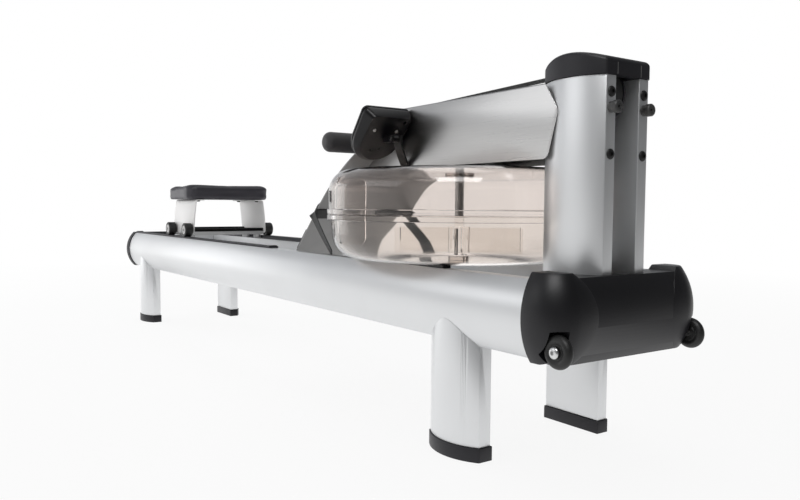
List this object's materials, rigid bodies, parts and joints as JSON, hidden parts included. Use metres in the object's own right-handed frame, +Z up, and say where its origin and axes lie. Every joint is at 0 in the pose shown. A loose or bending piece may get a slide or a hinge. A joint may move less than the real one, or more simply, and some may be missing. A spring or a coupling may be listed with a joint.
{
  "type": "water rowing machine",
  "caption": "Rowing machine with twin aluminium rails on legs, a clear water tank with an impeller, a rolling seat, a sloping footboard, a pull handle on a strap and a small monitor.",
  "frame": {"origin": "on the floor, under the middle of the overall length and width", "axes": "+X forward, from the seat to the posts; +Y to the left of someone who sits on the machine and faces it; +Z up"},
  "size_m": [2.2788, 0.546, 0.6833],
  "materials": {
    "silver_profile": "satin silver paint",
    "brushed_sheet": "brushed along its length",
    "grey_sheet": "satin grey",
    "white_paint": "satin white powder coat",
    "black_metal": "semi-gloss black",
    "bright_steel": "bright",
    "black_plastic": "fine grained black",
    "dark_plastic": "smooth dark grey",
    "clear_shell": "smoky clear polycarbonate",
    "water": "clear water",
    "dark_screen": "dark display window",
    "black_rubber": "matt black",
    "grey_rubber": "matt grey",
    "foam": "closed cell foam",
    "webbing": "woven black webbing",
    "seat_cover": "grained black cover"
  },
  "bodies": {
    "frame": {"rail_left": "silver_profile", "rail_right": "silver_profile", "seat_track_left": "black_plastic", "seat_track_right": "black_plastic", "front_crossmember": "black_metal", "rear_crossmember": "white_paint", "rear_bumper": "black_plastic", "leg_front_left": "silver_profile", "leg_front_right": "silver_profile", "leg_rear_left": "silver_profile", "leg_rear_right": "silver_profile", "foot_front_left": "black_rubber", "foot_front_right": "black_rubber", "foot_rear_left": "black_rubber", "foot_rear_right": "black_rubber", "post_left": "silver_profile", "post_right": "silver_profile", "post_cap": "black_plastic", "buffer_left": "grey_rubber", "buffer_right": "grey_rubber", "front_shroud": "black_plastic", "truck_bolt_left": "bright_steel", "truck_bolt_right": "bright_steel", "tank_lower_shell": "clear_shell", "tank_upper_shell": "clear_shell", "tank_seal": "black_rubber", "tank_water": "water", "tank_rest_left": "black_rubber", "tank_rest_right": "black_rubber", "tank_bearing": "dark_plastic", "footboard": "grey_sheet", "foot_strap_left": "webbing", "foot_strap_right": "webbing", "deck_cover": "brushed_sheet", "deck_end": "black_plastic", "drive_strap": "webbing", "monitor_arm": "black_metal"},
    "seat": {"seat_pad": "seat_cover", "seat_bracket_left": "white_paint", "seat_bracket_right": "white_paint", "seat_underframe": "black_metal"},
    "seat_wheel_fl": {"seat_wheel_front_left": "black_rubber"},
    "seat_wheel_fr": {"seat_wheel_front_right": "black_rubber"},
    "seat_wheel_rl": {"seat_wheel_rear_left": "black_rubber"},
    "seat_wheel_rr": {"seat_wheel_rear_right": "black_rubber"},
    "handle": {"handle_grip": "foam", "handle_yoke": "black_metal", "strap_lead": "webbing"},
    "idler": {"idler_pulley": "dark_plastic"},
    "drum": {"clutch_drum": "dark_plastic"},
    "rotor": {"impeller": "bright_steel"},
    "truck_wheel_l": {"truck_wheel_left": "black_rubber"},
    "truck_wheel_r": {"truck_wheel_right": "black_rubber"},
    "heel_rest_l": {"heel_rest_left": "black_plastic"},
    "heel_rest_r": {"heel_rest_right": "black_plastic"},
    "monitor": {"monitor_housing": "black_plastic", "monitor_screen": "dark_screen"},
    "button_l": {"monitor_button_left": "grey_rubber"},
    "button_m": {"monitor_button_middle": "grey_rubber"},
    "button_r": {"monitor_button_right": "grey_rubber"}
  },
  "joints": [
    {"name": "seat_roll", "type": "slide", "parent": "frame", "child": "seat", "axis": [1, 0, 0], "range_m": [-0.32, 0.6]},
    {"name": "seat_wheel_fl_spin", "type": "hinge", "parent": "seat", "child": "seat_wheel_fl", "pos_m": [-0.5686, 0.1445, 0.3513], "axis": [0, 1, 0], "range_deg": [-850, 1600]},
    {"name": "seat_wheel_fr_spin", "type": "hinge", "parent": "seat", "child": "seat_wheel_fr", "pos_m": [-0.5686, -0.1445, 0.3513], "axis": [0, 1, 0], "range_deg": [-850, 1600]},
    {"name": "seat_wheel_rl_spin", "type": "hinge", "parent": "seat", "child": "seat_wheel_rl", "pos_m": [-0.7336, 0.1445, 0.3513], "axis": [0, 1, 0], "range_deg": [-850, 1600]},
    {"name": "seat_wheel_rr_spin", "type": "hinge", "parent": "seat", "child": "seat_wheel_rr", "pos_m": [-0.7336, -0.1445, 0.3513], "axis": [0, 1, 0], "range_deg": [-850, 1600]},
    {"name": "handle_pull", "type": "slide", "parent": "frame", "child": "handle", "axis": [-1, 0, 0], "range_m": [0, 1], "stiffness_N_per_m": 12, "springref_m": -1, "deforming": ["strap_lead"]},
    {"name": "idler_spin", "type": "hinge", "parent": "frame", "child": "idler", "pos_m": [1.0329, 0, 0.621], "axis": [0, 1, 0], "range_deg": [-1290, 5]},
    {"name": "drum_spin", "type": "hinge", "parent": "frame", "child": "drum", "pos_m": [0.6779, 0, 0.538], "axis": [0, 0, 1], "range_deg": [-1260, 5]},
    {"name": "impeller_spin", "type": "hinge", "parent": "frame", "child": "rotor", "pos_m": [0.6779, 0, 0.45], "axis": [0, 0, 1], "continuous": true},
    {"name": "truck_wheel_l_spin", "type": "hinge", "parent": "frame", "child": "truck_wheel_l", "pos_m": [1.1129, 0.163, 0.2195], "axis": [0, 1, 0], "continuous": true},
    {"name": "truck_wheel_r_spin", "type": "hinge", "parent": "frame", "child": "truck_wheel_r", "pos_m": [1.1129, -0.163, 0.2195], "axis": [0, 1, 0], "continuous": true},
    {"name": "heel_rest_l_slide", "type": "slide", "parent": "frame", "child": "heel_rest_l", "axis": [0.7193, 0, 0.6947], "range_m": [0, 0.04]},
    {"name": "heel_rest_r_slide", "type": "slide", "parent": "frame", "child": "heel_rest_r", "axis": [0.7193, 0, 0.6947], "range_m": [0, 0.04]},
    {"name": "monitor_tilt", "type": "hinge", "parent": "frame", "child": "monitor", "pos_m": [0.6189, -0.13, 0.572], "axis": [0, 1, 0], "range_deg": [-8, 8]},
    {"name": "button_l_press", "type": "slide", "parent": "monitor", "child": "button_l", "axis": [0.788, 0, -0.6157], "range_m": [0, 0.0015], "stiffness_N_per_m": 300},
    {"name": "button_m_press", "type": "slide", "parent": "monitor", "child": "button_m", "axis": [0.788, 0, -0.6157], "range_m": [0, 0.0015], "stiffness_N_per_m": 300},
    {"name": "button_r_press", "type": "slide", "parent": "monitor", "child": "button_r", "axis": [0.788, 0, -0.6157], "range_m": [0, 0.0015], "stiffness_N_per_m": 300}
  ],
  "couplings": [
    {"joint": "seat_wheel_fl_spin", "follows": "seat_roll", "rad_per_m": 44.444},
    {"joint": "seat_wheel_fr_spin", "follows": "seat_roll", "rad_per_m": 44.444},
    {"joint": "seat_wheel_rl_spin", "follows": "seat_roll", "rad_per_m": 44.444},
    {"joint": "seat_wheel_rr_spin", "follows": "seat_roll", "rad_per_m": 44.444},
    {"joint": "idler_spin", "follows": "handle_pull", "rad_per_m": -22.371},
    {"joint": "drum_spin", "follows": "handle_pull", "rad_per_m": -21.882}
  ]
}
